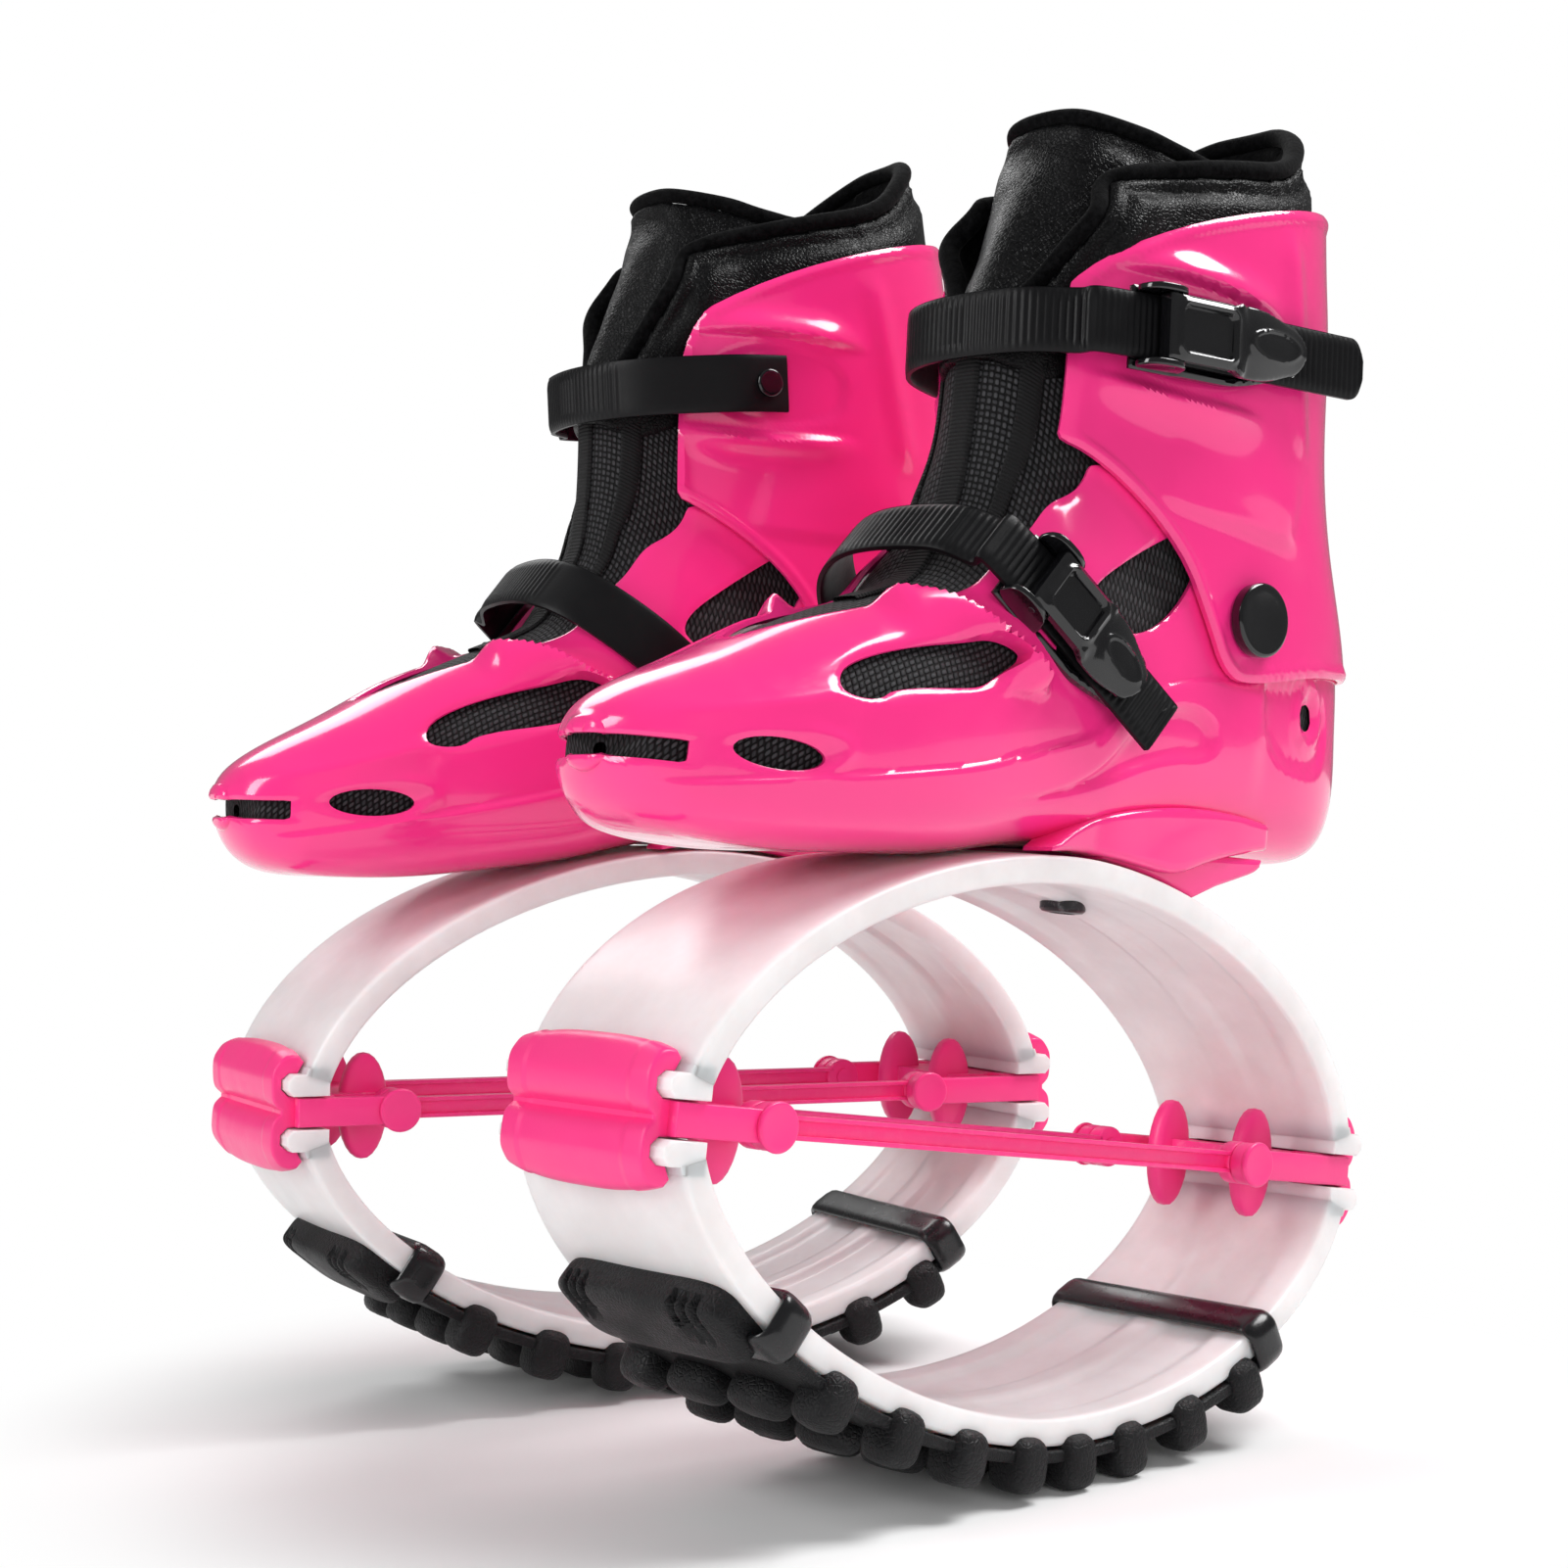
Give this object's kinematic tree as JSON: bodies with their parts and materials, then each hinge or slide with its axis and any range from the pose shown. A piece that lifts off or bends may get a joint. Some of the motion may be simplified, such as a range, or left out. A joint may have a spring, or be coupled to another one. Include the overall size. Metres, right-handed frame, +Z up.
{
  "type": "jumping shoes",
  "caption": "Pair of jumping shoes: hinged buckled boots on oval spring rings with brackets, tension bands and a lugged rubber sole.",
  "frame": {"origin": "middle of the pair on the ground, under the middle of its bounding box", "axes": "+Z up, +Y towards the heels, -Y towards the toes, +X towards the outer side of the left shoe"},
  "size_m": [0.305, 0.3286, 0.4393],
  "materials": {
    "gloss_pink_shell": "gloss",
    "moulded_pink_bracket": "satin",
    "natural_nylon": "satin, slightly translucent",
    "black_rubber": "matte",
    "black_plastic": "gloss",
    "black_ladder_strap": "satin",
    "black_lining": "matte",
    "dark_steel": "satin"
  },
  "bodies": {
    "left_sole": {"left_lower_bow": "natural_nylon", "left_outsole": "black_rubber"},
    "left_hooks": {"left_front_bracket": "moulded_pink_bracket", "left_rear_bracket": "moulded_pink_bracket", "left_tension_band_outer": "moulded_pink_bracket", "left_tension_band_inner": "moulded_pink_bracket", "left_band_rivet_front_outer": "moulded_pink_bracket", "left_band_rivet_front_inner": "moulded_pink_bracket", "left_band_rivet_rear_outer": "moulded_pink_bracket", "left_band_rivet_rear_inner": "moulded_pink_bracket"},
    "left_boot": {"left_upper_bow": "natural_nylon", "left_saddle": "gloss_pink_shell", "left_saddle_bolt": "dark_steel", "left_lower_shell": "gloss_pink_shell", "left_liner_foot": "black_lining", "left_pivot_pin_outer": "black_plastic", "left_pivot_pin_inner": "black_plastic", "left_instep_strap": "black_ladder_strap", "left_instep_strap_rivet": "black_plastic", "left_instep_buckle_base": "black_plastic", "left_instep_buckle_pin": "dark_steel"},
    "left_cuff": {"left_cuff": "gloss_pink_shell", "left_liner_shaft": "black_lining", "left_tongue": "black_lining", "left_cuff_strap": "black_ladder_strap", "left_cuff_strap_rivet": "black_plastic", "left_cuff_buckle_base": "black_plastic", "left_cuff_buckle_pin": "dark_steel"},
    "left_cuff_lever": {"left_cuff_buckle_lever": "black_plastic"},
    "left_instep_lever": {"left_instep_buckle_lever": "black_plastic"},
    "right_sole": {"right_lower_bow": "natural_nylon", "right_outsole": "black_rubber"},
    "right_hooks": {"right_front_bracket": "moulded_pink_bracket", "right_rear_bracket": "moulded_pink_bracket", "right_tension_band_outer": "moulded_pink_bracket", "right_tension_band_inner": "moulded_pink_bracket", "right_band_rivet_front_outer": "moulded_pink_bracket", "right_band_rivet_front_inner": "moulded_pink_bracket", "right_band_rivet_rear_outer": "moulded_pink_bracket", "right_band_rivet_rear_inner": "moulded_pink_bracket"},
    "right_boot": {"right_upper_bow": "natural_nylon", "right_saddle": "gloss_pink_shell", "right_saddle_bolt": "dark_steel", "right_lower_shell": "gloss_pink_shell", "right_liner_foot": "black_lining", "right_pivot_pin_outer": "black_plastic", "right_pivot_pin_inner": "black_plastic", "right_instep_strap": "black_ladder_strap", "right_instep_strap_rivet": "black_plastic", "right_instep_buckle_base": "black_plastic", "right_instep_buckle_pin": "dark_steel"},
    "right_cuff": {"right_cuff": "gloss_pink_shell", "right_liner_shaft": "black_lining", "right_tongue": "black_lining", "right_cuff_strap": "black_ladder_strap", "right_cuff_strap_rivet": "black_plastic", "right_cuff_buckle_base": "black_plastic", "right_cuff_buckle_pin": "dark_steel"},
    "right_cuff_lever": {"right_cuff_buckle_lever": "black_plastic"},
    "right_instep_lever": {"right_instep_buckle_lever": "black_plastic"}
  },
  "joints": [
    {"name": "left_lower_bow_flex", "type": "slide", "parent": "left_sole", "child": "left_hooks", "axis": [0, 0, -1], "range_m": [0, 0.015], "stiffness_N_per_m": 30000, "springref_m": -0.002, "deforming": ["left_lower_bow"]},
    {"name": "left_upper_bow_flex", "type": "slide", "parent": "left_hooks", "child": "left_boot", "axis": [0, 0, -1], "range_m": [0, 0.015], "stiffness_N_per_m": 30000, "springref_m": -0.002, "deforming": ["left_upper_bow"]},
    {"name": "left_ankle", "type": "hinge", "parent": "left_boot", "child": "left_cuff", "pos_m": [0.0831, 0.08231, 0.26312], "axis": [0.9942, 0.108, 0], "range_deg": [0, 4]},
    {"name": "left_cuff_buckle", "type": "hinge", "parent": "left_cuff", "child": "left_cuff_lever", "pos_m": [0.14264, 0.03957, 0.35093], "axis": [0.0084, -0.0774, -0.997], "range_deg": [0, 80]},
    {"name": "left_instep_buckle", "type": "hinge", "parent": "left_boot", "child": "left_instep_lever", "pos_m": [0.14306, -0.00977, 0.27181], "axis": [0.0783, -0.7208, -0.6887], "range_deg": [0, 80]},
    {"name": "right_shoe_lift", "type": "slide", "parent": "left_sole", "child": "right_sole", "axis": [0, 0, 1], "range_m": [0, 0.15]},
    {"name": "right_lower_bow_flex", "type": "slide", "parent": "right_sole", "child": "right_hooks", "axis": [0, 0, -1], "range_m": [0, 0.015], "stiffness_N_per_m": 30000, "springref_m": -0.002, "deforming": ["right_lower_bow"]},
    {"name": "right_upper_bow_flex", "type": "slide", "parent": "right_hooks", "child": "right_boot", "axis": [0, 0, -1], "range_m": [0, 0.015], "stiffness_N_per_m": 30000, "springref_m": -0.002, "deforming": ["right_upper_bow"]},
    {"name": "right_ankle", "type": "hinge", "parent": "right_boot", "child": "right_cuff", "pos_m": [-0.0835, 0.06352, 0.2712], "axis": [0.9942, -0.108, 0], "range_deg": [0, 4]},
    {"name": "right_cuff_buckle", "type": "hinge", "parent": "right_cuff", "child": "right_cuff_lever", "pos_m": [-0.14409, 0.01114, 0.35287], "axis": [-0.0039, -0.0361, 0.9993], "range_deg": [0, 80]},
    {"name": "right_instep_buckle", "type": "hinge", "parent": "right_boot", "child": "right_instep_lever", "pos_m": [-0.1435, -0.02891, 0.26866], "axis": [0.0693, 0.638, 0.7669], "range_deg": [0, 80]}
  ],
  "couplings": [
    {"joint": "left_lower_bow_flex", "follows": "left_upper_bow_flex", "ratio": 1},
    {"joint": "right_lower_bow_flex", "follows": "right_upper_bow_flex", "ratio": 1}
  ]
}
